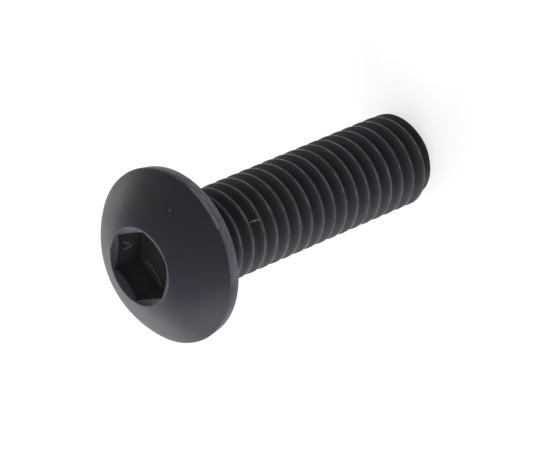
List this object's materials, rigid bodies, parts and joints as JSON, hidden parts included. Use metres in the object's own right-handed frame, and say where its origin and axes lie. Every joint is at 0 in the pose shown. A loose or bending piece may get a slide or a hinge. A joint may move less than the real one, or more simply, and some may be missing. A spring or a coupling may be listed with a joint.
{
  "type": "hexagon socket button head screw",
  "caption": "Steel machine screw with a low domed button head, a hexagon key socket and a metric thread that runs up to the head.",
  "frame": {"origin": "centre of the flat bearing face under the head, on the screw's axis", "axes": "+Z along the screw's axis, out through the head and the key socket; the threaded shank runs along -Z and the screw stands on its flat tip"},
  "size_m": [0.0108, 0.0108, 0.023],
  "materials": {
    "black_oxide_steel": "satin black oxide"
  },
  "bodies": {
    "root": {"screw": "black_oxide_steel"}
  },
  "joints": []
}
